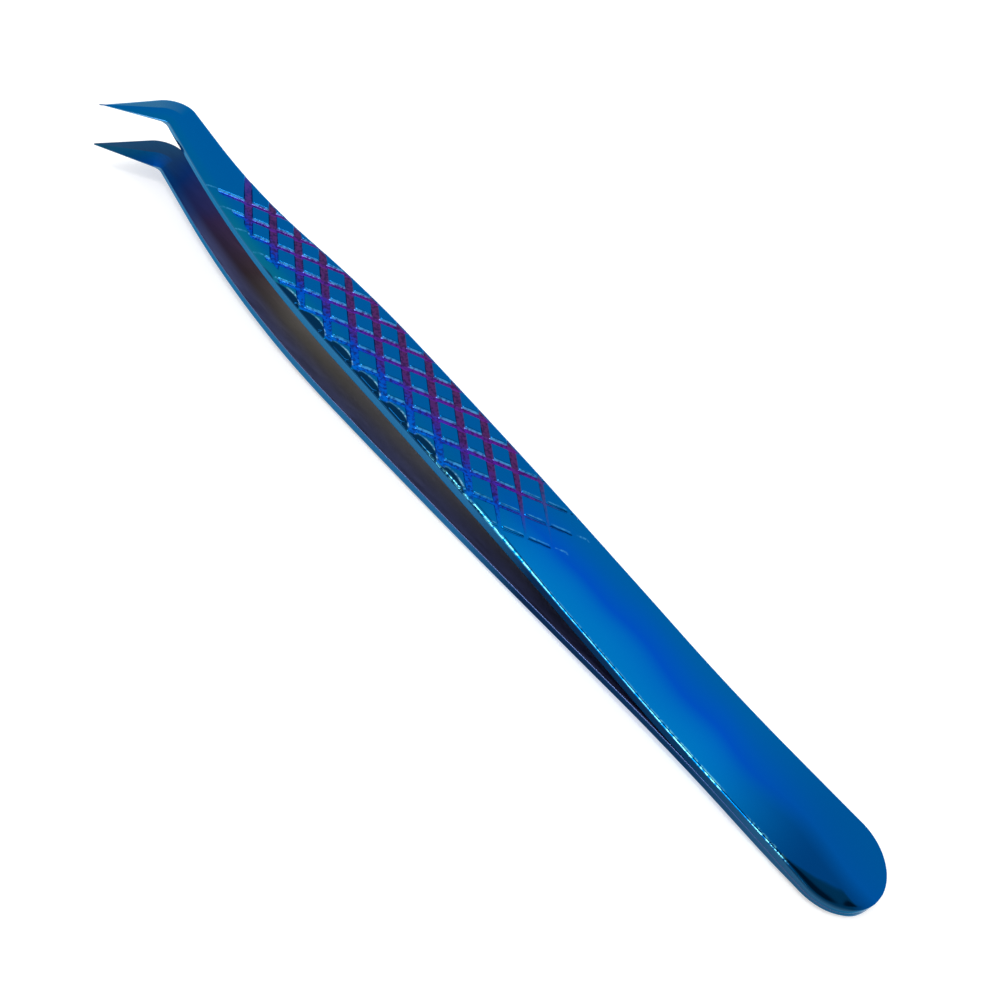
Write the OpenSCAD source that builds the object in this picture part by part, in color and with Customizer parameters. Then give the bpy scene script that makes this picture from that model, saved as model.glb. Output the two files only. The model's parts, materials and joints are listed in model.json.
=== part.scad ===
// Precision tweezers with a bent nose and a diamond grip.
//
// Two mirrored arms of spring steel lie back to back at the tail, where two
// spot weld nuggets hold them together. From the weld each arm bends outward,
// bows over the grip, narrows into a neck and turns sideways into a point.
//
// Frame: X runs along the tool, from the tail (-X) to the points (+X). Y runs
// across it, and the points turn to +Y. Z is up. The tool lies on its lower
// arm on the plane Z = 0, so it is tilted by rest_tilt about Y.
//
// The shape functions work in the tool's own frame: x from the tail end, y
// from the centreline, z from the plane between the two arms.

/* [Overall] */
// Length from the tail end to the points
tool_l = 125.6; // [104:0.1:151]
// Width across the round tail end
tail_w = 11.2; // [9:0.1:13.5]
// Width of the handle in front of the weld
handle_w = 10.6; // [8.6:0.1:12.8]
// Width of the grip where the neck begins
grip_w = 10.4; // [8.6:0.1:12.6]
// Gap between the two points at rest
point_gap = 5.6; // [4.4:0.1:6.8]

/* [Neck and nose] */
// Length of the neck, from the start of its taper to the nose's inner corner
neck_l = 41.6; // [38:0.2:46]
// Length of the bent nose along X, from its inner corner to the point
nose_l = 6; // [5.4:0.1:7]
// How far the points reach sideways from the centreline
point_reach = 5.1; // [4:0.1:5.5]
// Radius of the nose's outer corner
nose_corner_r = 3.4; // [2:0.1:5]
// Lean of the nose's outer edge from straight across the tool
nose_lean = 8.5; // [5:0.5:10]
// How much each point leans in, past the nose's inner corner
toe_in = 0.17; // [0.05:0.01:0.4]
// Depth of the bevel along the nose's faces, as a share of its side wall
nose_bevel = 0.85; // [0.4:0.05:0.9]

/* [Arm section] */
// Height of the side wall at the tail
tail_t = 0.7; // [0.5:0.01:0.85]
// Height of the side wall at the grip
grip_t = 0.84; // [0.65:0.01:1]
// Height of the side wall at the nose's corner
neck_t = 0.54; // [0.4:0.01:0.7]
// Height of the side wall at the point
point_t = 0.15; // [0.1:0.01:0.25]
// Height of the grip's crowned outer face above the side walls
crown_h = 0.56; // [0.46:0.02:0.7]
// Width of the grip's rounded shoulder between a side wall and the crown
shoulder_w = 0.9; // [0.6:0.05:1.3]
// Height and width of the handle's shoulder, as a share of the grip's
handle_share = 0.38; // [0.3:0.02:0.6]
// Extra width of the near shoulder, ground for the palm, at the tail end
palm_bevel_w = 1.7; // [0.6:0.1:2]
// Depth that the same shoulder is ground into the side wall
palm_bevel_h = 0.3; // [0.1:0.05:0.4]

/* [Spring and weld] */
// Length of the flat tail pad where the two arms touch
pad_l = 16; // [13:0.1:20]
// Length of the outward bend in front of the pad
bend_l = 16; // [14:0.5:20]
// Distance from the tail end to the line that each arm flexes about
flex_x = 36; // [34:0.5:42]
// Running clearance round the flex line
flex_clearance = 0.03; // [0.02:0.01:0.06]
// Diameter of a spot weld nugget
nugget_d = 3; // [2:0.1:4]
// Depth of a weld nugget in each arm
nugget_depth = 0.4; // [0.25:0.05:0.5]
// Distance from the tail end to the rear weld nugget
nugget_rear_x = 5.5; // [4:0.1:7]
// Distance from the tail end to the front weld nugget
nugget_front_x = 11.5; // [10:0.1:12.5]

/* [Grip] */
// Length of a diamond along the tool
diamond_l = 4.934; // [4.4:0.01:5.4]
// Width of a diamond across the tool
diamond_w = 3.6; // [3.2:0.05:4]
// Number of grooves that run each way
groove_count = 13; // [9:1:14]
// Depth of a groove below the crown
groove_depth = 0.3; // [0.15:0.01:0.35]
// Width of a groove's flat floor
groove_floor_w = 0.4; // [0.3:0.05:0.7]
// Distance from the neck's start back to the first groove crossing
grip_l = 29.15; // [26:0.05:31]

/* [Hidden] */

// Steps that the handle and neck are lofted in, and steps round a corner
body_steps = 24;
corner_steps = 6;
nose_steps = 5;
// A size larger than the tool, for cutting solids
big = 200;

// Places along the tool
elbow_x = tool_l - nose_l;
neck_x = elbow_x - neck_l;
bow_x = pad_l + bend_l;
bow_end_x = neck_x + 12;
tail_r = tail_w / 2;
grip_swell_from = neck_x - 37;
grip_swell_to = neck_x - 22;

// Neck edges in plan: radius of each curve, and the slope at its end
near_r = 140;
near_slope = 0.235;
far_r = 150;
far_slope = 0.107;
waist_x = neck_x + 16.5;
waist_r = 82;
waist_slope = 0.24;

// Side view: the arm leaves the pad at spread_slope, and passes the grip at a share of it
nose_slope_share = 0.18;
elbow_gap = point_gap / 2 + toe_in;
bow_l = bow_end_x - bow_x;
spread_run = bend_l / 2 + (1 + nose_slope_share) / 2 * bow_l + nose_slope_share * (elbow_x - bow_end_x);
spread_slope = elbow_gap / spread_run;

// Height that an edge gains along a curve of radius r that ends at slope s
function drop(u, r, s) = u <= 0 ? 0 : u < r * s ? u * u / (2 * r) : s * (u - r * s / 2);

// Share of the way from a to b, kept between 0 and 1
function share(x, a, b) = max(0, min(1, (x - a) / (b - a)));

// Half width of the handle, from the tail end's circle to the neck
function half_w(x) =
    x < tail_r ? sqrt(max(0, tail_r * tail_r - (tail_r - x) * (tail_r - x)))
    : handle_w / 2 + (tail_w - handle_w) / 2 * pow(1 - share(x, tail_r, 2 * pad_l), 2)
      - (handle_w - grip_w) / 2 * share(x, 2 * pad_l, neck_x);

// Edges of the handle and neck in plan
function near_y(x) = half_w(x) - drop(x - neck_x, near_r, near_slope);
function far_y(x) = -half_w(x) + drop(x - neck_x, far_r, far_slope) - drop(x - waist_x, waist_r, waist_slope);

// Height of an arm's inner face above the plane between the arms
function bend_rise(x) = drop(x - pad_l, bend_l / spread_slope, spread_slope);
function bow_fall(x) =
    drop(x - bow_x, bow_l / (spread_slope * (1 - nose_slope_share)), spread_slope * (1 - nose_slope_share));
function inner_z(x) = bend_rise(x) - bow_fall(x);

// Height of the side wall, and of the crown above it, which is lower where the arm is narrow
function wall_t(x) =
    tail_t + (grip_t - tail_t) * share(x, pad_l, neck_x) - (grip_t - neck_t) * share(x, neck_x, elbow_x);
function swell(x) = handle_share + (1 - handle_share) * share(x, grip_swell_from, grip_swell_to);
function crown(x) =
    crown_h * swell(x)
    * (x < pad_l ? sqrt(1 - pow(1 - share(x, 0, shoulder_w), 2)) : min(1, (near_y(x) - far_y(x)) / grip_w));
function outer_z(x) = inner_z(x) + wall_t(x) + crown(x);

// Share of the palm bevel, which is ground on the near side of the tail end
function palm(x) = share(x, 0.3, 2.4) * (1 - share(x, 4, 11));

// A station of the loft: near edge, far edge, inner height, wall height, crown height,
// share of the palm bevel, depth of the nose bevel, shoulder width
function body_station(x) =
    [[x, near_y(x)], [x, far_y(x)], inner_z(x), wall_t(x), crown(x), palm(x), 0, shoulder_w * swell(x)];
tail_stations = [for (a = [6, 18, 32, 48, 68, 90]) body_station(tail_r * (1 - cos(a)))];
body_stations = [for (i = [0 : body_steps]) body_station(pad_l + (elbow_x - 1 - pad_l) * i / body_steps)];

// The nose: its outer edge runs from the far edge round a corner to the point
point_xy = [tool_l, point_reach];
inner_corner = [elbow_x, near_y(elbow_x)];
far_start = [elbow_x, far_y(elbow_x)];
far_angle = atan(far_slope - waist_slope);
lean_angle = 90 - nose_lean;
function along(a) = [cos(a), sin(a)];
function left_of(a) = [-sin(a), cos(a)];
function cross2(p, q) = p[0] * q[1] - p[1] * q[0];
corner_from = far_start + nose_corner_r * left_of(far_angle);
corner_to = point_xy + nose_corner_r * left_of(lean_angle);
corner_run = cross2(corner_to - corner_from, along(lean_angle)) / cross2(along(far_angle), along(lean_angle));
corner_centre = corner_from + corner_run * along(far_angle);

// The inner edge turns its corner on a short curve
inner_dir = (point_xy - inner_corner) / norm(point_xy - inner_corner);
inner_before = [elbow_x - 0.6, near_y(elbow_x - 0.6)];
inner_after = inner_corner + 0.8 * inner_dir;
function inner_curve(t) =
    (1 - t) * (1 - t) * inner_before + 2 * t * (1 - t) * inner_corner + t * t * inner_after;

function nose_wall(t) = neck_t + (point_t - neck_t) * t;
function nose_station(near, far, t, turned) = [
    near, far, elbow_gap - toe_in * t, nose_wall(t),
    crown_h * norm(near - far) / grip_w, 0, turned * nose_bevel * nose_wall(t), shoulder_w
];
corner_stations = [
    for (i = [0 : corner_steps])
        let (a = far_angle + (lean_angle - far_angle) * i / corner_steps)
        nose_station(
            inner_curve(i / corner_steps), corner_centre - nose_corner_r * left_of(a),
            0.15 * i / corner_steps, i / corner_steps
        )
];
corner_end = corner_centre - nose_corner_r * left_of(lean_angle);
point_share = 0.985;
nose_stations = [
    for (i = [1 : nose_steps])
        let (t = point_share * i / nose_steps)
        nose_station(
            inner_after + (point_xy - inner_after) * t, corner_end + (point_xy - corner_end) * t,
            0.15 + 0.85 * t, 1
        )
];
stations = concat(tail_stations, body_stations, corner_stations, nose_stations);

// Section of the arm at a station: inner edge, wall, shoulder and crown on the near side, then the
// far side. On the nose a ridge runs along the middle of each face: the inner face rises from it
// towards the near edge, and the outer face falls from it towards the far edge.
shoulder_mid_in = 0.3;
shoulder_mid_up = 0.7;
function section(s) =
    let (
        width = norm(s[1] - s[0]),
        across = (s[1] - s[0]) / width,
        near_w = min(s[7] + palm_bevel_w * s[5] * s[5], 0.35 * width),
        near_top = s[2] + s[3] - palm_bevel_h * s[5],
        far_w = min(s[7], 0.35 * width),
        wall_top = s[2] + s[3],
        top = wall_top + s[4],
        mid = wall_top + shoulder_mid_up * s[4],
        middle = (s[0] + s[1]) / 2,
        bevel = s[6]
    )
    [
        [s[0].x, s[0].y, s[2] + bevel],
        [s[0].x, s[0].y, near_top],
        concat(s[0] + across * near_w * shoulder_mid_in, near_top + shoulder_mid_up * (top - near_top)),
        concat(s[0] + across * near_w, top),
        concat(middle, top),
        concat(s[1] - across * far_w, top - bevel * (1 - 2 * far_w / width)),
        concat(s[1] - across * far_w * shoulder_mid_in, mid - bevel * (1 - 2 * far_w * shoulder_mid_in / width)),
        [s[1].x, s[1].y, wall_top - bevel],
        [s[1].x, s[1].y, s[2]],
        concat(middle, s[2])
    ];

// One whole arm, above the plane between the arms, with no grooves
module arm_blank() {
    n = 10;
    last = len(stations) - 1;
    polyhedron(
        points = [for (s = stations) each section(s)],
        faces = concat(
            [[for (k = [0 : n - 1]) k]],
            [for (i = [0 : last - 1], k = [0 : n - 1]) each [
                [i * n + k, (i + 1) * n + k, i * n + (k + 1) % n],
                [i * n + (k + 1) % n, (i + 1) * n + k, (i + 1) * n + (k + 1) % n]
            ]],
            [[for (k = [n - 1 : -1 : 0]) last * n + k]]
        )
    );
}

// The flex line sits half way through the arm
flex_z = (inner_z(flex_x) + outer_z(flex_x)) / 2;
knuckle_r = (outer_z(flex_x) - inner_z(flex_x)) / 2 + 0.2;

module knuckle(r) {
    translate([flex_x, 0, flex_z])
        rotate([90, 0, 0])
            cylinder(r = r, h = max(tail_w, handle_w, grip_w) + 4, center = true, $fn = 96);
}

module before_flex_line() {
    translate([flex_x - big, -big / 2, -big / 2])
        cube([big, big, big]);
}

module after_flex_line() {
    translate([flex_x, -big / 2, -big / 2])
        cube([big, big, big]);
}

module nugget(x) {
    translate([x, 0, 0])
        rotate([0, 0, 40])
            cylinder(d = nugget_d, h = 2 * nugget_depth, center = true, $fn = 64);
}

// Diamond grip: the grooves of each family cross the centreline one diamond apart
first_crossing_x = neck_x - grip_l;
groove_angle = atan(diamond_w / diamond_l);
groove_wall_w = 0.35;
groove_reach = handle_w / sin(groove_angle) / 2 + 2;
grip_start_x = first_crossing_x - diamond_l / 2 - 0.2;
grip_fade_l = 14;

function fade(x) = 0.35 + 0.65 * share(x, grip_start_x, grip_start_x + grip_fade_l);
function crown_slope(x) = atan((outer_z(x + 3) - outer_z(x - 3)) / 6);

module groove(x, side) {
    depth = groove_depth * fade(x);
    translate([x, 0, outer_z(x) - depth])
        rotate([0, -crown_slope(x), 0])
            rotate([0, 0, side * groove_angle])
                rotate([90, 0, 90])
                    linear_extrude(height = 2 * groove_reach, center = true)
                        polygon([
                            [-groove_floor_w / 2, 0],
                            [groove_floor_w / 2, 0],
                            [groove_floor_w / 2 + 3 * groove_wall_w, 1.5],
                            [-groove_floor_w / 2 - 3 * groove_wall_w, 1.5]
                        ]);
}

module grip_grooves() {
    intersection() {
        union() {
            for (i = [-1 : groove_count - 2]) {
                groove(first_crossing_x + diamond_l * (i + 0.25), 1);
                groove(first_crossing_x + diamond_l * (i - 0.25), -1);
            }
        }
        translate([grip_start_x, -big / 2, 0])
            cube([big, big, big]);
    }
}

// The rear of an arm, behind its flex line, with a seat for each weld nugget
module tail_leaf() {
    difference() {
        intersection() {
            arm_blank();
            union() {
                before_flex_line();
                knuckle(knuckle_r);
            }
        }
        nugget(nugget_rear_x);
        nugget(nugget_front_x);
    }
}

// The rest of an arm, from its flex line to its point
module blade() {
    difference() {
        intersection() {
            arm_blank();
            after_flex_line();
        }
        knuckle(knuckle_r + flex_clearance);
        grip_grooves();
    }
}

// Lay the tool on the plane Z = 0: it rests on its tail end and on the belly of its lower arm
tail_steps = [for (s = tail_stations) s[0].x];
belly_steps = [for (s = body_stations) if (s[0].x > 2 * pad_l) s[0].x];
function tilt_from(a) = max([for (b = belly_steps) atan((outer_z(b) - outer_z(a)) / (b - a))]);
rest_tilt = min([for (a = tail_steps) tilt_from(a)]);
rest_z = max([for (x = concat(tail_steps, belly_steps)) outer_z(x) * cos(rest_tilt) - x * sin(rest_tilt)]);
centre_x = tool_l / 2 * cos(rest_tilt);

module lying() {
    translate([-centre_x, 0, rest_z])
        rotate([0, -rest_tilt, 0])
            children();
}

module upper_arm_tail() {
    color([0, 0.36, 0.62])
        lying()
            tail_leaf();
}

module lower_arm_tail() {
    color([0, 0.32, 0.55])
        lying()
            mirror([0, 0, 1])
                tail_leaf();
}

module weld_nugget_rear() {
    color([0.55, 0.56, 0.58])
        lying()
            nugget(nugget_rear_x);
}

module weld_nugget_front() {
    color([0.55, 0.56, 0.58])
        lying()
            nugget(nugget_front_x);
}

module upper_arm_blade() {
    color([0, 0.36, 0.66])
        lying()
            blade();
}

module lower_arm_blade() {
    color([0, 0.3, 0.55])
        lying()
            mirror([0, 0, 1])
                blade();
}

upper_arm_tail();
lower_arm_tail();
weld_nugget_rear();
weld_nugget_front();
upper_arm_blade();
lower_arm_blade();
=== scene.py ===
# %% [markdown]
# # Precision tweezers with a bent nose and a diamond grip
# The real tool is two stamped spring steel arms, spot welded together at the tail, ground, milled
# with a diamond grip, polished, and given a thin blue vapour-deposited coat.
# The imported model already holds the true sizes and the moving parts. This lesson dresses it: each
# arm gets one continuous finely cut mesh, a coated metal finish, and a soft studio round it.

# %% Load the frame
import json
import math

import bpy
import numpy as np
from mathutils import Matrix, Vector


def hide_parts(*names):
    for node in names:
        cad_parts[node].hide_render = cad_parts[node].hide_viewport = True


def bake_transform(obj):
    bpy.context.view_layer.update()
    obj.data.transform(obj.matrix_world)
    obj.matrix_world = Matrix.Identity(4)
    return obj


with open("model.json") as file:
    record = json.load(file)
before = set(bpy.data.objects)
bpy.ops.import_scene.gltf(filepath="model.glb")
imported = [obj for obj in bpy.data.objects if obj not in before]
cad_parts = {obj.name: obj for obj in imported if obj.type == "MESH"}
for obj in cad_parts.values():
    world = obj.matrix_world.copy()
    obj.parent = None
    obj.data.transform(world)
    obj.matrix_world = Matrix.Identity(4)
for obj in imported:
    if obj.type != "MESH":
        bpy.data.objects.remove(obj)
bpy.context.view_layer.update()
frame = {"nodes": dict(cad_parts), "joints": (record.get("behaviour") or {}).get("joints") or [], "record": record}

# %% [markdown]
# ## How the tool lies
# The arms are easiest to draw in the tool's own frame: x from the tail end, y across, towards the
# side that the points turn to, and z up from the plane between the two arms, all in millimetres.
# On the table the tool leans a little, because it rests on its tail and on the belly of one arm.
# A flat patch on the tail is recorded as a mount, so its place and its axis say how far it leans.

# %% From the tool's own frame to the scene
MM = 0.001
PAD_POINT = (9.0, 0.0, -0.9128)
pad_mount = next(m for m in frame["record"]["mounts"] if m["name"] == "tail_pad_lower")
lean_sin, lean_cos = pad_mount["axis"][0], -pad_mount["axis"][2]


def leaned(p):
    """Turns points or directions of the tool's own frame by the lean of the lying tool."""
    p = np.asarray(p, float)
    x, y, z = p[..., 0], p[..., 1], p[..., 2]
    return np.stack([x * lean_cos - z * lean_sin, y, x * lean_sin + z * lean_cos], -1)


tail_end = np.array(pad_mount["pos_m"]) - leaned(PAD_POINT) * MM


def lying(p):
    """Points of the tool's own frame, in mm, as places in the scene, in metres."""
    return tail_end + leaned(p) * MM


print("lean in degrees:", round(math.degrees(math.atan2(lean_sin, lean_cos)), 3))

# %% [markdown]
# ## Helpers for curves
# Most of the outline is straight with a gentle bend into it. One helper gives the height gained
# along such a bend. The others say how far a place lies on its way between two places, plainly or
# with soft ends, or if it lies in a band. They take single numbers and whole arrays alike.

# %% Curve helpers
def eased(u, radius, slope):
    """Height gained along a curve of that radius that ends at that slope."""
    u = np.maximum(u, 0)
    return np.where(u < radius * slope, u * u / (2 * radius), slope * (u - radius * slope / 2))


def share(x, a, b):
    """How far x is on its way from a to b, kept between 0 and 1."""
    return np.clip((x - a) / (b - a), 0, 1)


def smooth(x, a, b):
    """The same, leaving a and reaching b softly."""
    t = share(x, a, b)
    return t * t * (3 - 2 * t)


def band(x, a, b, c, d):
    """Rises softly from a to b, stays, and falls softly from c to d."""
    return smooth(x, a, b) * (1 - smooth(x, c, d))


print("a quarter of the way, plainly and softly:", share(0.25, 0, 1), smooth(0.25, 0, 1))

# %% [markdown]
# ## The outline of an arm
# A toolmaker thinks of an arm as a plan outline, a side view and a section, so the mesh is made
# from the same three. The plan is a round tail, a handle that narrows slightly, a neck that
# tapers, and a nose that turns sideways into a point.

# %% Plan
TOOL_L, TAIL_W, HANDLE_W, GRIP_W = 125.6, 11.2, 10.6, 10.4
NOSE_L, NECK_L, POINT_REACH, PAD_L = 6.0, 41.6, 5.1, 16.0
TAIL_R = TAIL_W / 2
ELBOW_X = TOOL_L - NOSE_L
NECK_X = ELBOW_X - NECK_L
NEAR_R, NEAR_SLOPE = 140, 0.235
FAR_R, FAR_SLOPE = 150, 0.107
WAIST_ON, WAIST_R, WAIST_SLOPE = 16.5, 82, 0.24


def half_width(x):
    tail_flare = (TAIL_W - HANDLE_W) / 2 * (1 - share(x, TAIL_R, 2 * PAD_L)) ** 2
    return HANDLE_W / 2 + tail_flare - (HANDLE_W - GRIP_W) / 2 * share(x, 2 * PAD_L, NECK_X)


def near_edge(x):
    """The edge on the side that the points turn to."""
    return half_width(x) - eased(x - NECK_X, NEAR_R, NEAR_SLOPE)


def far_edge(x):
    """The other edge, which draws in along the neck and swings back out before the nose."""
    taper = eased(x - NECK_X, FAR_R, FAR_SLOPE)
    return -half_width(x) + taper - eased(x - NECK_X - WAIST_ON, WAIST_R, WAIST_SLOPE)


print("width at the neck's end:", round(float(near_edge(ELBOW_X) - far_edge(ELBOW_X)), 2), "mm")

# %% [markdown]
# ## The side view
# From the weld the arms bend apart, run out nearly straight, and bow back a little before the
# neck, so that only the points meet when they are squeezed. The strip is thickest at the grip and
# is ground thin towards the point. Its outer face is crowned: high on the grip, low on the handle.
# Tail, grip and crown are drawn a few thousandths of a millimetre under their packed thickness,
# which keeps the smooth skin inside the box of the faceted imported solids.

# %% Side view
POINT_GAP, BEND_L, TOE_IN, NOSE_SLOPE_SHARE = 5.6, 16.0, 0.17, 0.18
TAIL_T, GRIP_T, NECK_T, POINT_T = 0.697, 0.837, 0.54, 0.15
CROWN_H, SHOULDER_W, HANDLE_SHARE = 0.555, 0.9, 0.38
SWELL_FROM, SWELL_TO = NECK_X - 37, NECK_X - 22
BOW_X, BOW_END_X = PAD_L + BEND_L, NECK_X + 12
BOW_L = BOW_END_X - BOW_X
ELBOW_GAP = POINT_GAP / 2 + TOE_IN
SPREAD_SLOPE = ELBOW_GAP / (
    BEND_L / 2 + (1 + NOSE_SLOPE_SHARE) / 2 * BOW_L + NOSE_SLOPE_SHARE * (ELBOW_X - BOW_END_X)
)


def inner_height(x):
    bend = eased(x - PAD_L, BEND_L / SPREAD_SLOPE, SPREAD_SLOPE)
    settle = SPREAD_SLOPE * (1 - NOSE_SLOPE_SHARE)
    return bend - eased(x - BOW_X, BOW_L / settle, settle)


def wall_height(x):
    thicker = (GRIP_T - TAIL_T) * share(x, PAD_L, NECK_X)
    return TAIL_T + thicker - (GRIP_T - NECK_T) * share(x, NECK_X, ELBOW_X)


def swell(x):
    """Share of the grip's crown and shoulder, which are lower and narrower on the handle."""
    return HANDLE_SHARE + (1 - HANDLE_SHARE) * share(x, SWELL_FROM, SWELL_TO)


def crown_height(x):
    return CROWN_H * swell(x) * np.minimum(1, (near_edge(x) - far_edge(x)) / GRIP_W)


print("the arms spread at", round(math.degrees(math.atan(SPREAD_SLOPE)), 2), "degrees each")

# %% [markdown]
# ## The bent nose
# The nose is the neck turned sideways: the far edge runs round a corner and out to the point, and
# the near edge turns tightly at the inner corner. First the corner's arc is found, between the
# line that comes up the neck and the line that leans back from the point.

# %% Corner of the nose
CORNER_R, NOSE_LEAN, NOSE_BEVEL = 3.4, math.radians(8.5), 0.85
TURN_FROM, TURN_TO = 0.6, 0.8


def heading(a):
    return np.array([math.cos(a), math.sin(a)])


def left_of(a):
    return np.array([-math.sin(a), math.cos(a)])


def cross2(p, q):
    return p[0] * q[1] - p[1] * q[0]


point = np.array([TOOL_L, POINT_REACH])
inner_corner = np.array([ELBOW_X, float(near_edge(ELBOW_X))])
far_start = np.array([ELBOW_X, float(far_edge(ELBOW_X))])
far_heading, out_heading = math.atan(FAR_SLOPE - WAIST_SLOPE), math.pi / 2 - NOSE_LEAN
corner_from = far_start + CORNER_R * left_of(far_heading)
corner_to = point + CORNER_R * left_of(out_heading)
corner_run = cross2(corner_to - corner_from, heading(out_heading))
corner_run /= cross2(heading(far_heading), heading(out_heading))
corner_centre = corner_from + corner_run * heading(far_heading)
corner_end = corner_centre - CORNER_R * left_of(out_heading)
nose_line = (point - inner_corner) / np.linalg.norm(point - inner_corner)
turn_in = np.array([ELBOW_X - TURN_FROM, float(near_edge(ELBOW_X - TURN_FROM))])
turn_out = inner_corner + TURN_TO * nose_line
print("the outer corner ends at", corner_end.round(2), "and the point is at", point)

# %% [markdown]
# ## Stations along the arm
# A station is a pair of points on the two edges, with the heights of the section between them.
# Along the body they lie straight across. Round the nose they open like a fan, which follows the
# turn without pinching the mesh, and the flat section becomes a rhombus there: a ridge runs along
# the middle of each face, with a ground bevel on one side of it. On the grip the stations stand
# close together, because the grooves are cut into the mesh itself.

# %% Stations
GRIP_FROM, GRIP_TO = 45.4, 109.6
DIAMOND_L, DIAMOND_W = 4.934, 3.6
CUT_STEP = DIAMOND_L / 36
HANDLE_STEPS, NECK_STEPS, TURN_STEPS, NOSE_STEPS = 84, 36, 25, 41
TURN_SHARE, TIP_SHARE = 0.15, 0.984


def body_station(x):
    x = float(x)
    near, far = (x, float(near_edge(x))), (x, float(far_edge(x)))
    return [*near, *far, float(inner_height(x)), float(wall_height(x)), float(crown_height(x)), 0.0]


def nose_station(near, far, t, turned):
    wall = NECK_T + (POINT_T - NECK_T) * t
    crown = CROWN_H * np.linalg.norm(near - far) / GRIP_W
    return [*near, *far, ELBOW_GAP - TOE_IN * t, wall, crown, turned]


places = np.concatenate([
    np.linspace(TAIL_R, GRIP_FROM, HANDLE_STEPS)[:-1],
    np.arange(GRIP_FROM, GRIP_TO, CUT_STEP),
    np.linspace(GRIP_TO, ELBOW_X - 1, NECK_STEPS),
])
stations = [body_station(x) for x in places]
for t in np.linspace(0, 1, TURN_STEPS):
    near = (1 - t) ** 2 * turn_in + 2 * t * (1 - t) * inner_corner + t * t * turn_out
    far = corner_centre - CORNER_R * left_of(far_heading + (out_heading - far_heading) * t)
    stations.append(nose_station(near, far, TURN_SHARE * t, t))
for t in np.linspace(0, TIP_SHARE, NOSE_STEPS)[1:]:
    near = turn_out + (point - turn_out) * t
    far = corner_end + (point - corner_end) * t
    stations.append(nose_station(near, far, TURN_SHARE + (1 - TURN_SHARE) * t, 1.0))
stations = np.array(stations)
print("stations along an arm:", len(stations))

# %% [markdown]
# ## The section of an arm
# Across an arm, the inner face is flat, the side walls are straight with a fine broken edge, and
# a rounded shoulder leads on to a crown that is almost flat. The half section below runs from
# the middle of the inner face, out to the edge, up the wall, over the shoulder and in to the
# middle of the crown. Each row also says if it is on the inner face or on a side wall.

# %% Half section
BROKEN_EDGE, CROWN_BULGE = 0.07, 0.05
INNER_STEPS, SHOULDER_STEPS, CROWN_STEPS = 7, 13, 42


def half_section(half, inner, wall, crown, shoulder):
    """Inset from the edge, height, and face marks, from the inner face's middle to the crown's."""
    edge = BROKEN_EDGE * min(1.0, half)
    shoulder = min(shoulder, 0.7 * half)
    bulge = CROWN_BULGE * crown / CROWN_H
    rows = []
    for f in np.linspace(0, 1, INNER_STEPS):
        rows.append((half + (2 * edge - half) * f, inner, 1, 0))
    rows.append((edge, inner, 1, 0))
    rows.append((0.3 * edge, inner + 0.3 * edge, 0.5, 0.5))
    for f in (0, 0.35, 0.7):
        rows.append((0, inner + edge + (wall - edge) * f, 0, 1))
    for a in np.linspace(0, math.pi / 2, SHOULDER_STEPS + 1):
        inset = shoulder * (1 - math.cos(a))
        rise = bulge * (1 - (1 - inset / half) ** 2)
        height = inner + wall + (crown - bulge) * math.sin(a) + rise
        rows.append((inset, height, 0, 1 - math.sin(a)))
    for f in np.linspace(0, 1, CROWN_STEPS + 1)[1:]:
        inset = shoulder + (half - shoulder) * f
        rise = bulge * (1 - (1 - inset / half) ** 2)
        rows.append((inset, inner + wall + crown - bulge + rise, 0, 0))
    return np.array(rows)


HALF = len(half_section(5, 0, 1, 0.5, SHOULDER_W))
RING = 2 * HALF - 2
print("points in a half section:", HALF, "and round a whole one:", RING)

# %% [markdown]
# ## Both halves of a station
# The half section serves both sides of a station. On the nose the two halves are sheared against
# each other, which makes the rhombus. Round the near side of the tail the shoulder is ground
# wider and lower, so that it doesn't press into the palm. TAIL_FLAT cuts the tail's very end off
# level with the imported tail, whose facets stop just short of the full circle.

# %% Section of a station
PALM_BEVEL_W, PALM_BEVEL_H, TAIL_FLAT = 1.7, 0.3, 0.04
PALM_FROM, PALM_FULL, PALM_FADE, PALM_TO = 2.0, 4.8, 6.8, 15.0
INSET, INSIDE, SIDE, ACROSS, TURNED = 3, 4, 5, 6, 7


def palm(rim_way):
    """Share of the palm bevel, by how far round the near rim it lies from the tail's very end."""
    return band(rim_way, PALM_FROM, PALM_FULL, PALM_FADE, PALM_TO)


def section_points(near, far, inner, wall, crown, turned, rim_way, shoulder):
    """Both halves of one station, as rows of x, y, z, inset, inside, side, across, turned."""
    middle, out = (near + far) / 2, (near - far) / 2
    half = float(np.linalg.norm(out))
    bevel = turned * NOSE_BEVEL * wall
    sides = []
    for sign in (1, -1):
        ground = float(palm(rim_way)) if sign > 0 else 0.0
        low, wide = PALM_BEVEL_H * ground, PALM_BEVEL_W * ground ** 2
        rows = half_section(half, inner, wall - low, crown + low, shoulder + wide)
        reach = 1 - rows[:, 0] / half
        up_wall = np.clip((rows[:, 1] - inner) / wall, 0, 1)
        height = rows[:, 1] + bevel * reach * ((1 - up_wall) if sign > 0 else -up_wall)
        xy = middle + reach[:, None] * sign * out
        marks = [rows[:, 0], rows[:, 2], rows[:, 3], reach * sign, np.full(len(rows), turned)]
        sides.append(np.column_stack([xy, height, *marks]))
    return sides


def ring_index(station, side, k):
    """Where point k of a half section is in the list: near halves go up, far halves come back."""
    return station * RING + (k if side > 0 or k in (0, HALF - 1) else RING - k)


widest = section_points(stations[0][0:2], stations[0][2:4], 0.0, TAIL_T, 0.2, 0.0, 5.0, 0.4)[0]
print("the palm bevel ends", round(float(widest[-CROWN_STEPS - 1][INSET]), 2), "mm from the edge")

# %% [markdown]
# ## The round tail
# The end of the tail is half of a circle. Half sections turned about its middle close the mesh
# there, as a lathe would. All of them share the point on the axis at the inner and outer face.

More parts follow.
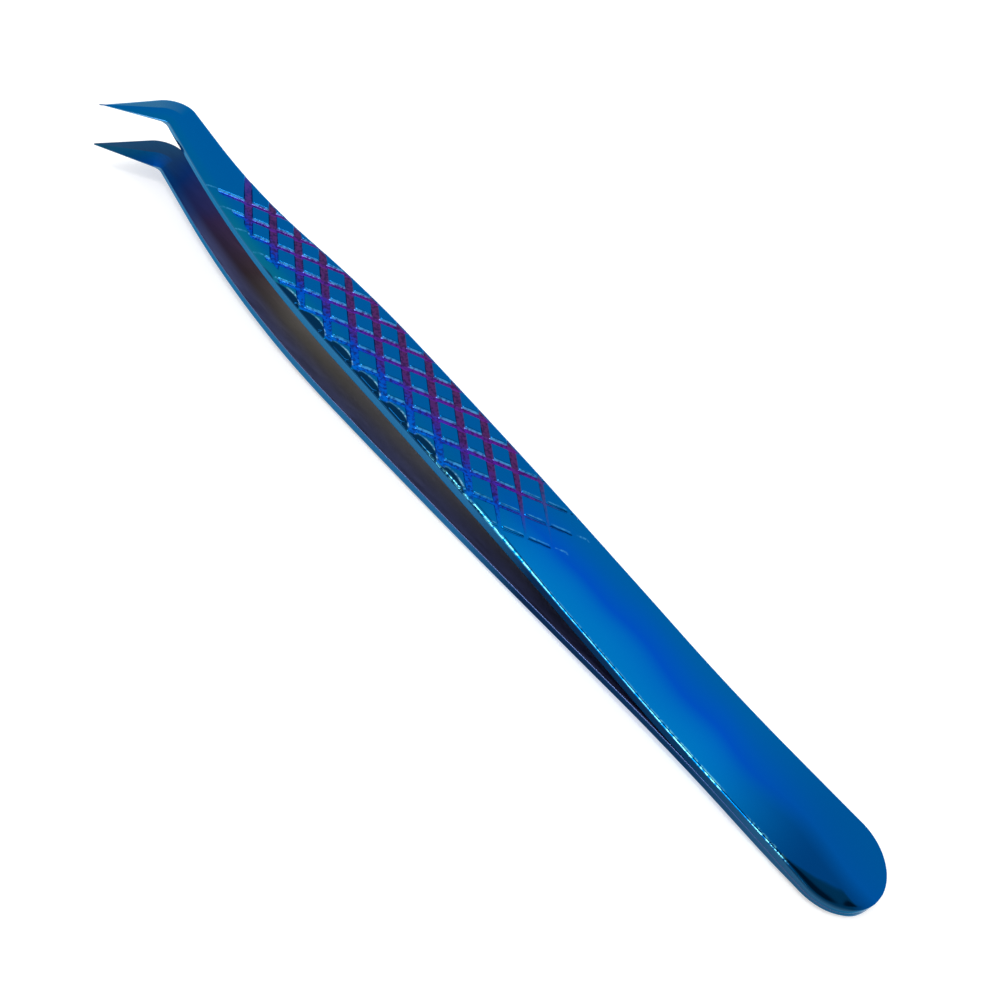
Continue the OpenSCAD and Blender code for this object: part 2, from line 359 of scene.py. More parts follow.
# %% Tail end and all points
TAIL_TURNS = 48
tail_centre = np.array([TAIL_R, 0.0])


def tail_fan(points):
    """Adds the half sections of the round tail end, and returns each one's places in the list."""
    spokes = [[ring_index(0, 1, k) for k in range(HALF)]]
    for j in range(1, TAIL_TURNS):
        a = math.pi / 2 + math.pi * j / TAIL_TURNS
        rim = tail_centre + TAIL_R * heading(a)
        rim_way = TAIL_R * (math.pi * 1.5 - a - math.pi / 2) if a < math.pi else 0.0
        heights, shoulder = stations[0][4:8], SHOULDER_W * HANDLE_SHARE
        spoke_half = section_points(rim, 2 * tail_centre - rim, *heights, rim_way, shoulder)[0]
        spoke_half[:, ACROSS] *= math.cos(a - math.pi / 2)
        spoke = [spokes[0][0]]
        for k in range(1, HALF - 1):
            spoke.append(len(points))
            points.append(spoke_half[k])
        spokes.append(spoke + [spokes[0][-1]])
    spokes.append([ring_index(0, -1, k) for k in range(HALF)])
    return spokes


def all_points():
    points = []
    for s in stations:
        rim_way = TAIL_R * math.pi / 2 + s[0] - TAIL_R
        shoulder = SHOULDER_W * swell(s[0])
        near_half, far_half = section_points(s[0:2], s[2:4], *s[4:8], rim_way, shoulder)
        points.extend(near_half)
        points.extend(far_half[-2:0:-1])
    spokes = tail_fan(points)
    points = np.array(points)
    points[:, 0] = np.maximum(points[:, 0], TAIL_FLAT)
    return points, spokes


skin, tail_spokes = all_points()
print("points of an arm:", len(skin), "with", len(tail_spokes), "spokes round the tail")

# %% [markdown]
# ## The diamond grip
# Two families of shallow milled grooves cross at about 72 degrees and leave raised diamonds
# between them. They could be a bump in the material, but their walls catch the light and show at
# the edge of the arm, so they are cut into the mesh: each surface point is lowered to the floor of
# the nearest groove. The grooves start faint near the handle and run out over both edges. Only
# towards the neck, where the near edge curves away, do they stop short of it. One family is cut
# with a wider floor than the other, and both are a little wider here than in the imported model,
# whose grooves came out narrower than the real ones.

# %% Groove shape
FIRST_CROSSING_X = NECK_X - 29.15
GROOVE_COUNT, GROOVE_DEPTH, WALL_W = 13, 0.3, 0.22
LEFT_HALF_FLOOR, RIGHT_HALF_FLOOR = 0.26, 0.36
GROOVE_ANGLE = math.atan2(DIAMOND_W, DIAMOND_L)
GRIP_START_X, GRIP_FADE_L, GRIP_END_X = FIRST_CROSSING_X - DIAMOND_L / 2 - 0.2, 14.0, 112
FAINT_START, RUN_OUT_FROM, RUN_OUT_TO, RUN_OUT_RISE = 0.25, 82, 90, 0.25


def soft_min(a, b, width):
    h = np.clip(0.5 + 0.5 * (b - a) / width, 0, 1)
    return b + (a - b) * h - width * h * (1 - h)


def groove_floor(x, y, side, near_gap):
    """Groove height against the crown for one family, and how far it lies past the middle."""
    start = FIRST_CROSSING_X + side * DIAMOND_L / 4
    crossing = x - side * y * DIAMOND_L / DIAMOND_W
    number = np.clip(np.round((crossing - start) / DIAMOND_L), -1, GROOVE_COUNT - 2)
    past = (crossing - start - number * DIAMOND_L) * math.sin(GROOVE_ANGLE)
    fade_in = smooth(x, GRIP_START_X, GRIP_START_X + GRIP_FADE_L)
    strength = FAINT_START + (1 - FAINT_START) * fade_in
    strength = strength * smooth(x, GRIP_START_X - 0.3, GRIP_START_X + 0.6)
    half_floor = (LEFT_HALF_FLOOR if side > 0 else RIGHT_HALF_FLOOR) * strength
    rise = np.maximum(np.abs(past) - half_floor, 0) / WALL_W * GROOVE_DEPTH
    stop = 0.9 * smooth(x, 88, 96) if side > 0 else 0.3 + 0.9 * smooth(x, 84, 92)
    run_out = (1 - smooth(near_gap, stop - 0.1, stop + 0.3)) * smooth(x, RUN_OUT_FROM, RUN_OUT_TO)
    return rise - GROOVE_DEPTH * strength + (GROOVE_DEPTH + RUN_OUT_RISE) * run_out, past


print("grooves cross at", round(2 * math.degrees(GROOVE_ANGLE), 1), "degrees")

# %% [markdown]
# ## Cut the grip
# The cut lowers the points and keeps notes on each of them for the finish: how deep it is cut,
# which family of grooves cut it, and if it is on a groove's lit wall or on its shaded one.

# %% Cut
CROSS_SOFT, EDGE_SOFT = 0.04, 0.07


def cut_grip(points):
    """Lowers the outer face to the grooves, and returns the notes of the cut."""
    x, y, height = points[:, 0], points[:, 1], points[:, 2].copy()
    on_top = (points[:, INSIDE] == 0) & (x > GRIP_START_X - 1) & (x < GRIP_END_X)
    near_gap = near_edge(x) - y
    crown = inner_height(x) + wall_height(x) + crown_height(x)
    cut_one, past_one = groove_floor(x, y, 1, near_gap)
    cut_two, _ = groove_floor(x, y, -1, near_gap)
    lowest = soft_min(crown + cut_one, crown + cut_two, CROSS_SOFT)
    lowered = np.where(on_top, soft_min(height, lowest, EDGE_SOFT), height)
    points[:, 2] = lowered
    one_deeper = smooth(cut_two - cut_one, -0.12, 0.12)
    return {
        "cut": np.clip((height - lowered) / GROOVE_DEPTH, 0, 1),
        "near_family": one_deeper,
        "lit_wall": band(past_one, 0.26, 0.34, 0.38, 0.46) * one_deeper * on_top,
        "shade_wall": band(past_one, -0.46, -0.34, -0.28, -0.16) * one_deeper * on_top,
    }


skin_notes = cut_grip(skin)
print("points in the grooves:", int((skin_notes["cut"] > 0.5).sum()))

# %% [markdown]
# ## Notes along the edges
# Where the grooves run out over the near shoulder, a row of small lobes gets a painted dark
# reflection, each with a painted highlight as a bright rim on its tail side. Along the near edge of
# the handle a thin broken line of light, finer than the mesh, is a painted highlight. Both are noted
# on the points, with the band of the palm bevel and its painted dark reflection, because they
# follow the edge and not the room.

# %% Edge notes
LOBE_REACH, LOBE_LEAST = 1.15, 0.6
LINE_PLACES = [8, 10, 12, 14, 16, 18, 24, 28, 42, 46, 60, 64]
LINE_BRIGHTNESS = [0, 1, 1, 0, 0, 1, 1, 0.4, 0.3, 0.6, 0.3, 0]


def lobe_notes(points):
    """One lobe of painted dark reflection for each diamond that the near edge cuts off, with a rim of painted
    highlight.
    """
    x, near_gap = points[:, 0], near_edge(points[:, 0]) - points[:, 1]
    on_top = (points[:, INSIDE] == 0) & (x > GRIP_START_X - 1) & (x < GRIP_END_X)
    from_node = (x - FIRST_CROSSING_X) / DIAMOND_L - 0.5
    from_node = from_node - np.floor(from_node)
    reach = LOBE_REACH * np.sin(math.pi * from_node ** 0.85) ** 0.6 * band(x, 50, 62, 84, 96)
    # Mask of the painted dark reflection in each lobe.
    painted_dark_lobe = on_top * (near_gap > 0.02) * (1 - smooth(near_gap, reach - 0.16, reach - 0.04))
    # The rim of each lobe is a painted highlight.
    rim = band(near_gap, reach - 0.14, reach - 0.04, reach + 0.02, reach + 0.1)
    rim = on_top * rim * (reach > LOBE_LEAST) * (1 - 0.85 * smooth(from_node, 0.4, 0.7))
    return {"painted_dark_lobe": painted_dark_lobe, "painted_lobe_highlight": rim}


def rim_notes(points):
    """The palm bevel with its painted dark reflection, the painted line of light beside it, and the polished
    shoulder.
    """
    x, y, inset = points[:, 0], points[:, 1], points[:, INSET]
    outer, near_side = points[:, INSIDE] == 0, points[:, ACROSS] > 0
    turn = np.where(x < TAIL_R, np.arctan2(y, np.maximum(TAIL_R - x, 1e-6)), math.pi / 2)
    palm_share = palm(TAIL_R * turn + np.maximum(x - TAIL_R, 0)) * near_side
    palm_w = SHOULDER_W * HANDLE_SHARE + PALM_BEVEL_W * palm_share ** 2
    # A painted highlight: the thin broken line of light along the near edge of the handle.
    line = band(inset, 0.02, 0.1, 0.22, 0.42) * np.interp(x, LINE_PLACES, LINE_BRIGHTNESS)
    return {
        # Mask of the palm bevel, where a painted dark reflection goes.
        "ground": np.minimum(1, 1.6 * palm_share) * (1 - smooth(inset, 0.8 * palm_w, 1.05 * palm_w)),
        "painted_edge_highlight": line * outer * near_side,
        "shoulder": smooth(inset, 1.1, 0.5) * outer,
    }


skin_notes.update(lobe_notes(skin))
skin_notes.update(rim_notes(skin))
skin_notes["along"] = skin[:, 0] / TOOL_L
for name, column in (("inside", INSIDE), ("side", SIDE), ("across", ACROSS), ("turned", TURNED)):
    skin_notes[name] = skin[:, column]
print("notes on each point:", ", ".join(sorted(skin_notes)))

# %% [markdown]
# ## Join the points into a skin
# Neighbouring sections are joined by small cells of four points. A cell has to be split into two
# triangles, and the choice shows: on the grip the cells have the diamonds' proportions, so the
# flatter diagonal of a cell runs along its groove, and splitting there keeps the groove clean.

# %% Triangles
def skin_triangles(points, spokes):
    tris = []

    def quad(a, b, c, d):
        straight = abs(points[a, 2] - points[c, 2]) <= abs(points[b, 2] - points[d, 2])
        tris.extend([(a, b, c), (a, c, d)] if straight else [(a, b, d), (b, c, d)])

    for i in range(len(stations) - 1):
        here, there = i * RING, (i + 1) * RING
        for k in range(RING):
            n = (k + 1) % RING
            quad(here + k, there + k, there + n, here + n)
    for one, two in zip(spokes, spokes[1:]):
        tris.append((one[0], one[1], two[1]))
        tris.append((one[-2], one[-1], two[-2]))
        for k in range(1, HALF - 2):
            quad(one[k], one[k + 1], two[k + 1], two[k])
    last = (len(stations) - 1) * RING
    tris.extend((last, last + k + 1, last + k) for k in range(1, RING - 1))
    return np.array(tris)


skin_tris = skin_triangles(skin, tail_spokes)
print("triangles of an arm:", len(skin_tris))

# %% [markdown]
# ## Two arms
# The lower arm is the mirror image of the upper one, so its triangles are turned to face out
# again. The notes become attributes of the mesh, which the material can read by name.

# %% Make both arms
def make_arm(name, up):
    places = skin[:, :3] * np.array([1, 1, up])
    a, b, c = skin_tris[:, 0], skin_tris[:, 1], skin_tris[:, 2]
    volume = np.einsum("ij,ij->i", places[a], np.cross(places[b], places[c])).sum()
    tris = skin_tris if volume > 0 else skin_tris[:, ::-1]
    mesh = bpy.data.meshes.new(name)
    mesh.from_pydata(lying(places).tolist(), [], tris.tolist())
    mesh.polygons.foreach_set("use_smooth", np.ones(len(tris), bool))
    for note_name, values in skin_notes.items():
        layer = mesh.attributes.new(note_name, "FLOAT", "POINT")
        layer.data.foreach_set("value", np.asarray(values, np.float32))
    mesh.validate()
    arm = bpy.data.objects.new(name, mesh)
    bpy.context.scene.collection.objects.link(arm)
    bpy.context.view_layer.update()
    print(name, "volume", round(abs(volume) / 6, 1), "cubic mm")
    return arm


upper_arm = make_arm("upper_arm_skin", 1)
lower_arm = make_arm("lower_arm_skin", -1)

# %% [markdown]
# ## Put the skins in place of the imported arms
# Each skin stands for the two imported solids of its arm, which are hidden. A real arm is one flat
# spring, so the skin isn't cut at the line it flexes about.

# %% Hide the imported arms
for arm, side in ((upper_arm, "upper_arm"), (lower_arm, "lower_arm")):
    joint = next(j for j in frame["joints"] if j["child"] == side)
    pivot = Vector(joint["pos_m"])
    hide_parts(side + "_tail", side + "_blade")
    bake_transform(arm)
    print(side, "flexes about x =", round(pivot.x / MM, 2), "mm")

# %% [markdown]
# ## Building blocks for the finishes
# Materials below are wired from a few helpers. A helper keeps each cell short: one reads a note
# from the mesh, one mixes two colours, one turns a value into a colour.

# %% Node helpers
def film(red, green, blue):
    """A screen colour from 0 to 255 as the linear colour that Blender works with."""
    parts = [c / 255 for c in (red, green, blue)]
    linear = [c / 12.92 if c <= 0.04 else ((c + 0.055) / 1.055) ** 2.4 for c in parts]
    return (*linear, 1.0)


def add(tree, kind, **settings):
    node = tree.nodes.new(kind)
    for name, value in settings.items():
        setattr(node, name, value)
    return node


def feed(tree, socket, value):
    """Links a socket to a socket, or sets a plain value on it."""
    if isinstance(value, bpy.types.NodeSocket):
        tree.links.new(value, socket)
    else:
        socket.default_value = value


def note(tree, name):
    return add(tree, "ShaderNodeAttribute", attribute_name=name).outputs["Fac"]


def calc(tree, operation, a, b=0.0):
    node = add(tree, "ShaderNodeMath", operation=operation, use_clamp=False)
    feed(tree, node.inputs[0], a)
    feed(tree, node.inputs[1], b)
    return node.outputs[0]


def fit(tree, value, low, high, to_low=0.0, to_high=1.0):
    """Turns the span from low to high softly into the span from to_low to to_high."""
    node = add(tree, "ShaderNodeMapRange", interpolation_type="SMOOTHSTEP")
    for socket, v in zip(node.inputs, (value, low, high, to_low, to_high)):
        feed(tree, socket, v)
    return node.outputs["Result"]


print("the handle's blue in linear colour:", [round(c, 3) for c in film(0, 88, 154)])

# %% [markdown]
# ## Mixing colours
# Two more helpers deal in colours. A ramp gives the drift of the coat from one end of a face to
# the other, and a mix lays one colour over another by a mask.

# %% Colour helpers
def blend_colours(tree, amount, a, b):
    node = add(tree, "ShaderNodeMix", data_type="RGBA", clamp_factor=True)
    feed(tree, node.inputs["Factor"], amount)
    feed(tree, node.inputs["A"], a)
    feed(tree, node.inputs["B"], b)
    return node.outputs["Result"]


def colours_along(tree, value, stops):
    node = add(tree, "ShaderNodeValToRGB")
    points = node.color_ramp.elements
    while len(points) < len(stops):
        points.new(0.5)
    for element, (place, colour) in zip(points, stops):
        element.position = place
        element.color = colour
    feed(tree, node.inputs["Fac"], value)
    return node.outputs["Color"]


def drifted(tree, value, waves, amount):
    """The value pushed up and down by a noise, so that a colour's border isn't ruled straight."""
    push = calc(tree, "MULTIPLY", calc(tree, "SUBTRACT", waves, 0.5), amount)
    return calc(tree, "ADD", value, push)

# %% [markdown]
# ## Polish lines
# A polished steel strip keeps the trace of the belt: very fine lines along its length, and slow
# waves that make a reflection swim. Noise stretched along the tool gives the lines, and a second,
# broad noise gives the waves. A third gives the specks that the cutter leaves in its grooves.
# Both finishes use it, so it is a node group.

# %% Polish group
def group_tree(name, inputs, outputs):
    """An empty node group with named inputs and outputs, and its two end nodes."""
    tree = bpy.data.node_groups.new(name, "ShaderNodeTree")
    for label, default in inputs.items():
        socket = tree.interface.new_socket(name=label, in_out="INPUT", socket_type="NodeSocketFloat")
        socket.default_value = default
    for label in outputs:
        tree.interface.new_socket(name=label, in_out="OUTPUT", socket_type="NodeSocketFloat")
    return tree, add(tree, "NodeGroupInput"), add(tree, "NodeGroupOutput")


def noise(tree, place, size, detail):
    node = add(tree, "ShaderNodeTexNoise")
    feed(tree, node.inputs["Vector"], place)
    feed(tree, node.inputs["Scale"], size)
    node.inputs["Detail"].default_value = detail
    return node.outputs["Fac"]


polish, polish_in, polish_out = group_tree(
    "polish_lines",
    {"Line size": 9000.0, "Wave size": 90.0, "Stretch": 0.02, "Speck size": 2600.0},
    ("Lines", "Waves", "Specks"),
)
spot = add(polish, "ShaderNodeTexCoord").outputs["Object"]
squeeze = add(polish, "ShaderNodeCombineXYZ")
feed(polish, squeeze.inputs["X"], polish_in.outputs["Stretch"])
feed(polish, squeeze.inputs["Y"], 1.0)
feed(polish, squeeze.inputs["Z"], 1.0)
stretched = add(polish, "ShaderNodeMapping", vector_type="POINT")
feed(polish, stretched.inputs["Vector"], spot)
feed(polish, stretched.inputs["Scale"], squeeze.outputs[0])
belt_lines = noise(polish, stretched.outputs[0], polish_in.outputs["Line size"], 3.0)
feed(polish, polish_out.inputs["Lines"], belt_lines)
feed(polish, polish_out.inputs["Waves"], noise(polish, spot, polish_in.outputs["Wave size"], 1.0))
feed(polish, polish_out.inputs["Specks"], noise(polish, spot, polish_in.outputs["Speck size"], 2.0))


def place_polish(tree, **values):
    """The polish group in a material, with that material's own values."""
    node = add(tree, "ShaderNodeGroup", node_tree=polish)
    for label, value in values.items():
        feed(tree, node.inputs[label.replace("_", " ")], value)
    return node.outputs


print("polish group nodes:", len(polish.nodes))

# %% [markdown]
# ## The blue coat on the outer face
# The colour of coated steel is no paint. It comes from the thickness of a clear film, so it
# drifts from cyan through deep blue to violet and bronze as that thickness changes. The coat is
# a pure metal whose base colour is built in layers from the notes on the mesh. Across the handle
# it goes from a dark blue on the far side to cyan on the near side, the tail end and the neck
# each have their own shade, and the palm bevel gets a painted dark reflection.

# %% Outer face colours
def outer_face_colour(tree, waves):
    along, across = note(tree, "along"), note(tree, "across")
    handle = colours_along(tree, fit(tree, drifted(tree, across, waves, 0.7), -1.0, 1.0), [
        (0.0, film(0, 92, 160)), (0.3, film(0, 86, 180)), (0.55, film(0, 80, 190)),
        (0.78, film(0, 104, 190)), (1.0, film(0, 116, 192)),
    ])
    tail = colours_along(tree, fit(tree, drifted(tree, across, waves, 0.7), -1.0, 1.0), [
        (0.0, film(0, 82, 150)), (0.5, film(0, 80, 156)), (0.8, film(0, 62, 122)),
    ])
    neck = colours_along(tree, fit(tree, across, -1.0, 1.0), [
        (0.0, film(0, 86, 154)), (0.8, film(0, 88, 154)), (1.0, film(0, 92, 148)),
    ])
    base = blend_colours(tree, fit(tree, along, 0.17, 0.05), handle, tail)
    base = blend_colours(tree, fit(tree, along, 0.36, 0.46), base, neck)
    beside_neck = calc(tree, "MULTIPLY", fit(tree, along, 0.62, 0.68), fit(tree, along, 0.88, 0.78))
    teal = calc(tree, "MULTIPLY", fit(tree, across, 0.45, 1.0), beside_neck)
    base = blend_colours(tree, teal, base, film(8, 106, 138))
    # Painted dark reflection on the palm bevel near the tail.
    base = blend_colours(tree, note(tree, "ground"), base, film(0, 46, 80))
    nose_bevel = calc(tree, "MULTIPLY", note(tree, "turned"), fit(tree, across, 0.04, -0.04))
    return blend_colours(tree, nose_bevel, base, film(66, 108, 146))


print("outer face: three ramps, a teal edge, the palm bevel and the nose bevel")

# %% [markdown]
# ## Colours of the grip
# In the grooves the film shows violet on the far side and turns blue towards the near side. The
# cutter leaves them rough, so dark specks break the colour up. One wall of a groove catches the
# light and the other lies in shade.

# %% Grip colours
def groove_colour(tree, specks):
    across = fit(tree, drifted(tree, note(tree, "across"), specks, 0.5), -1.0, 1.0)
    wide = colours_along(tree, across, [
        (0.0, film(84, 40, 92)), (0.5, film(80, 38, 104)), (0.72, film(58, 40, 140)),
        (0.84, film(10, 62, 180)), (1.0, film(0, 96, 200)),
    ])
    thin = colours_along(tree, across, [
        (0.0, film(96, 26, 136)), (0.5, film(84, 28, 160)), (0.72, film(40, 44, 180)),
        (0.84, film(4, 70, 190)), (1.0, film(0, 104, 210)),
    ])
    shaded = colours_along(tree, across, [
        (0.0, film(150, 24, 190)), (0.6, film(132, 26, 206)), (0.82, film(44, 50, 226)),
        (1.0, film(0, 96, 226)),
    ])
    floor = blend_colours(tree, note(tree, "near_family"), wide, thin)
    speckled = blend_colours(tree, fit(tree, specks, 0.36, 0.56), film(16, 20, 60), floor)
    floor = blend_colours(tree, 0.6, floor, speckled)
    floor = blend_colours(tree, note(tree, "shade_wall"), floor, shaded)
    return blend_colours(tree, fit(tree, note(tree, "along"), 0.80, 0.92), floor, film(20, 60, 190))


def edge_colours(tree, colour, specks):
    """Painted highlights on the lit edges of the diamonds, painted dark reflection and highlight on the lobes
    along the grip, and the painted line of light.
    """
    broken = fit(tree, specks, 0.34, 0.6, 0.15, 0.9)
    lit = calc(tree, "MULTIPLY", note(tree, "lit_wall"), broken)
    colour = blend_colours(tree, lit, colour, film(70, 160, 214))
    # Painted dark reflection in the lobes.
    colour = blend_colours(tree, note(tree, "painted_dark_lobe"), colour, film(4, 44, 78))
    # Painted highlight on the lobes' rims, broken up by the specks.
    rim = calc(tree, "MULTIPLY", note(tree, "painted_lobe_highlight"), broken)
    colour = blend_colours(tree, rim, colour, film(150, 220, 244))
    # Painted highlight along the near edge of the handle.
    line = calc(tree, "MULTIPLY", note(tree, "painted_edge_highlight"), fit(tree, specks, 0.4, 0.55))
    return blend_colours(tree, line, colour, film(120, 228, 250))


print("grip: two groove colours, their shaded and lit walls, the lobes and the line of light")

# %% [markdown]
# ## Colours of the walls and the inner face
# Between the arms the film has other thicknesses: the inner face goes from grey near the weld
# through brown and violet to blue at the nose, with a bluer rim along its near edge. The side
# walls are the same steel seen edge on. Their colour drifts from tail to nose, and along the
# handle it is darker, as a painted dark reflection beside the gap between the arms.

# %% Wall and inner face colours
def wall_colour(tree):
    # Darker from about a sixth to over a third of the way along: painted dark reflection beside the gap.
    return colours_along(tree, note(tree, "along"), [
        (0.0, film(40, 86, 120)), (0.1, film(34, 78, 114)), (0.17, film(14, 48, 84)),
        (0.36, film(14, 36, 70)), (0.44, film(36, 98, 144)), (0.85, film(45, 108, 150)),
        (0.95, film(84, 130, 164)),
    ])


def inner_face_colour(tree, waves):
    across, along = note(tree, "across"), drifted(tree, note(tree, "along"), waves, 0.1)
    middle = colours_along(tree, along, [
        (0.0, film(60, 80, 110)), (0.2, film(112, 108, 116)), (0.5, film(132, 130, 134)),
        (0.7, film(120, 114, 106)), (0.78, film(70, 52, 54)), (0.86, film(58, 38, 72)),
        (0.91, film(20, 40, 100)), (0.95, film(34, 60, 96)), (1.0, film(40, 74, 110)),
    ])
    rim = blend_colours(tree, fit(tree, along, 0.80, 0.92), film(112, 116, 164), film(16, 58, 122))
    face = blend_colours(tree, fit(tree, across, 0.35, 0.95), middle, rim)
    nose_bevel = calc(tree, "MULTIPLY", note(tree, "turned"), fit(tree, across, -0.04, 0.06))
    facet = colours_along(tree, note(tree, "along"), [
        (0.955, film(0, 84, 180)), (0.975, film(6, 76, 126)), (1.0, film(28, 84, 112)),
    ])
    return blend_colours(tree, nose_bevel, face, facet)


print("inner face: grey, brown, violet and blue from the weld to the nose")

# %% [markdown]
# ## The blue coat material
# The layers meet in one material. Metal needs little more than a base colour and a roughness, and
# a tint for the grazing reflections, which stay blue on this coat. The shoulder is buffed to a
# finer polish than the face, the inner face is left satin, and a slight bump from the belt lines,
# the waves and the specks keeps every reflection from being perfectly clean.

# %% Blue coat
GRAZING_TINT = (0.42, 0.66, 0.89, 1.0)


def bumped(tree, height, strength, distance):
    bump = add(tree, "ShaderNodeBump")
    bump.inputs["Strength"].default_value = strength
    bump.inputs["Distance"].default_value = distance
    feed(tree, bump.inputs["Height"], height)
    return bump.outputs["Normal"]


def new_metal(name):
    material = bpy.data.materials.new(name)
    material.use_nodes = True
    shader = material.node_tree.nodes["Principled BSDF"]
    shader.inputs["Metallic"].default_value = 1.0
    return material, material.node_tree, shader


def blue_coat():
    material, tree, shader = new_metal("blue_coat")
    shader.inputs["Specular Tint"].default_value = GRAZING_TINT
    marks = place_polish(tree, Line_size=9000.0, Wave_size=90.0, Stretch=0.02, Speck_size=2600.0)
    lines, waves, specks = marks["Lines"], marks["Waves"], marks["Specks"]
    colour, cut = outer_face_colour(tree, waves), note(tree, "cut")
    colour = blend_colours(tree, fit(tree, cut, 0.2, 0.7), colour, groove_colour(tree, specks))
    colour = edge_colours(tree, colour, specks)
    colour = blend_colours(tree, fit(tree, note(tree, "side"), 0.45, 0.85), colour, wall_colour(tree))
    colour = blend_colours(tree, note(tree, "inside"), colour, inner_face_colour(tree, waves))
    feed(tree, shader.inputs["Base Color"], colour)
    buffed = fit(tree, note(tree, "shoulder"), 0.0, 1.0, 1.0, 0.6)
    satin = calc(tree, "ADD", 1.0, calc(tree, "MULTIPLY", note(tree, "inside"), 1.4))
    belt = fit(tree, lines, 0.3, 0.7, 0.12, 0.2)
    finish = calc(tree, "MULTIPLY", calc(tree, "MULTIPLY", buffed, satin), belt)
    feed(tree, shader.inputs["Roughness"], finish)
    ripple = calc(tree, "MULTIPLY", calc(tree, "MULTIPLY", specks, cut), 0.25)
    relief = calc(tree, "ADD", calc(tree, "MULTIPLY", lines, 0.012), calc(tree, "ADD", waves, ripple))
    feed(tree, shader.inputs["Normal"], bumped(tree, relief, 0.35, 0.0002))
    return material


coat = blue_coat()
for arm in (upper_arm, lower_arm):
    arm.data.materials.append(coat)
print("blue coat nodes:", len(coat.node_tree.nodes))

# %% [markdown]
# ## The weld nuggets
# Two spot welds hold the arms together inside the tail. They can't be seen on the finished tool,
# but they are real pieces of the model, so they get a grey, grainy, once molten metal. Their
# shape stays as packed, and only their material is changed.

# %% Weld metal
def weld_metal():
    material, tree, shader = new_metal("weld_metal")
    marks = place_polish(tree, Line_size=2500.0, Wave_size=900.0, Stretch=1.0)
    tint = colours_along(tree, marks["Waves"], [
        (0.3, film(120, 116, 112)), (0.55, film(160, 160, 164)), (0.75, film(150, 132, 108)),
    ])
    feed(tree, shader.inputs["Base Color"], tint)
    feed(tree, shader.inputs["Roughness"], fit(tree, marks["Lines"], 0.2, 0.8, 0.3, 0.6))
    feed(tree, shader.inputs["Normal"], bumped(tree, marks["Lines"], 0.5, 0.0001))
    return material


nugget_metal = weld_metal()
for name in ("weld_nugget_rear", "weld_nugget_front"):
    nugget = frame["nodes"][name]
    for place in nugget.material_slots:
        place.material = nugget_metal
    print(name, "slots:", len(nugget.material_slots))

# %% [markdown]
# ## Floor
# The tool lies on a plain pale table. Its surface glows a little, as a light table does, which
# keeps the shadow under the thin arms faint.

# %% Floor
FLOOR_HALF = 3.0
FLOOR_DARK, FLOOR_PALE, WHITE = (0.64, 0.64, 0.64, 1), (0.66, 0.66, 0.66, 1), (1, 1, 1, 1)


def plain_floor():
    mesh = bpy.data.meshes.new("floor")
    corners = [(x * FLOOR_HALF, y * FLOOR_HALF, 0) for x, y in ((-1, -1), (1, -1), (1, 1), (-1, 1))]
    mesh.from_pydata(corners, [], [(0, 1, 2, 3)])
    floor = bpy.data.objects.new("floor", mesh)
    bpy.context.scene.collection.objects.link(floor)
    material = bpy.data.materials.new("pale_table")
    material.use_nodes = True
    tree = material.node_tree
    shader = tree.nodes["Principled BSDF"]
    grain = add(tree, "ShaderNodeTexNoise")
    grain.inputs["Scale"].default_value = 400.0
    pale = blend_colours(tree, grain.outputs["Fac"], FLOOR_DARK, FLOOR_PALE)
    feed(tree, shader.inputs["Base Color"], pale)
    shader.inputs["Roughness"].default_value = 0.8
    shader.inputs["Specular IOR Level"].default_value = 0.1
    shader.inputs["Emission Color"].default_value = WHITE
    shader.inputs["Emission Strength"].default_value = 0.5
    mesh.materials.append(material)
    print("floor is", 2 * FLOOR_HALF, "m wide")


plain_floor()

# %% [markdown]
# ## Studio
# Polished metal shows the room more than itself, so the light is mostly the sky dome: a white
# tent. A strip light hangs over the tool and draws the thin highlight along its shoulder, and a
# grey screen beside the strip leaves a dark line next to that highlight. Both are oval patches
# of the dome, placed by direction, so nothing hangs in the scene itself.

# %% Light tent
SCREEN = {"along": -0.12, "across": -0.2, "length": 0.3, "width": 0.2}
STRIP = {"along": 0.12, "across": 0.32, "length": 0.3, "width": 0.08}
SCREEN_TONE, STRIP_TONE = (0.2, 0.2, 0.22, 1), (9, 9, 9, 1)


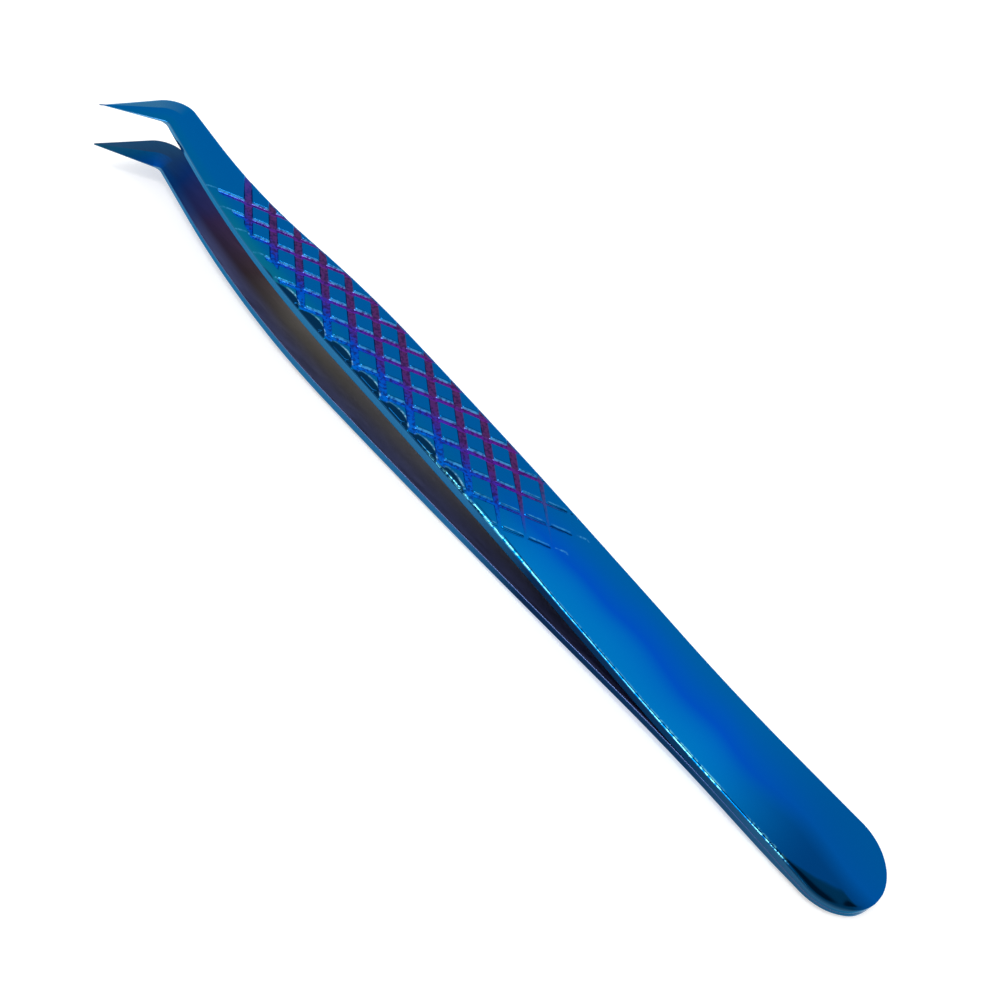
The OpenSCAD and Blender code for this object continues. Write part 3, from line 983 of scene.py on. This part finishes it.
def panel(tree, way, along, across, length, width):
    """Mask of a soft oval panel overhead, placed and sized on the dome seen from above."""
    moved = add(tree, "ShaderNodeVectorMath", operation="SUBTRACT")
    feed(tree, moved.inputs[0], way)
    moved.inputs[1].default_value = (along, across, 0)
    scaled = add(tree, "ShaderNodeVectorMath", operation="MULTIPLY")
    feed(tree, scaled.inputs[0], moved.outputs[0])
    scaled.inputs[1].default_value = (1 / length, 1 / width, 0)
    size = add(tree, "ShaderNodeVectorMath", operation="LENGTH")
    feed(tree, size.inputs[0], scaled.outputs[0])
    height = add(tree, "ShaderNodeSeparateXYZ")
    feed(tree, height.inputs[0], way)
    above = fit(tree, height.outputs["Z"], 0.0, 0.1)
    return calc(tree, "MULTIPLY", fit(tree, size.outputs["Value"], 1.2, 0.8), above)


def light_tent():
    world = bpy.data.worlds.new("light_tent")
    bpy.context.scene.world = world
    world.use_nodes = True
    tree = world.node_tree
    background = tree.nodes["Background"]
    way = add(tree, "ShaderNodeTexCoord").outputs["Generated"]
    tone = blend_colours(tree, panel(tree, way, **SCREEN), WHITE, SCREEN_TONE)
    tone = blend_colours(tree, panel(tree, way, **STRIP), tone, STRIP_TONE)
    feed(tree, background.inputs["Color"], tone)
    background.inputs["Strength"].default_value = 1.0
    print("light tent nodes:", len(tree.nodes))


light_tent()
bpy.context.scene.view_settings.view_transform = "Standard"

# %% [markdown]
# ## Camera
# The camera stands over the near side of the tail, so the tool runs away from it and its points
# look smaller than its handle. Its place and aim are given in the tool's own frame, in
# millimetres, and it is rolled so that the tool runs from corner to corner of the view.

# %% Camera
CAMERA_AT, CAMERA_AIM, CAMERA_ROLL = (15.353, 86.083, 91.981), (55.280, -0.760, 0.0), 28.78
LENS_MM, SENSOR_MM = 43.562, 36.0


def place_camera():
    data = bpy.data.cameras.new("camera")
    data.lens, data.sensor_width = LENS_MM, SENSOR_MM
    data.clip_start, data.clip_end = 0.005, 20
    camera = bpy.data.objects.new("camera", data)
    bpy.context.scene.collection.objects.link(camera)
    at, aim = np.array(CAMERA_AT), np.array(CAMERA_AIM)
    back = (at - aim) / np.linalg.norm(at - aim)
    level = np.cross((0, 0, 1), back)
    level = level / np.linalg.norm(level)
    upright = np.cross(back, level)
    roll = math.radians(CAMERA_ROLL)
    right = level * math.cos(roll) + upright * math.sin(roll)
    up = np.cross(back, right)
    turn = Matrix([leaned(right), leaned(up), leaned(back)]).transposed()
    camera.matrix_world = Matrix.Translation(lying(at)) @ turn.to_4x4()
    bpy.context.scene.camera = camera
    print("camera", [round(c, 1) for c in camera.location * 1000])


place_camera()

# %% [markdown]
# ## Bring the scene up to date
# The skins must not grow past the imported model.

# %% Update
bpy.context.view_layer.update()
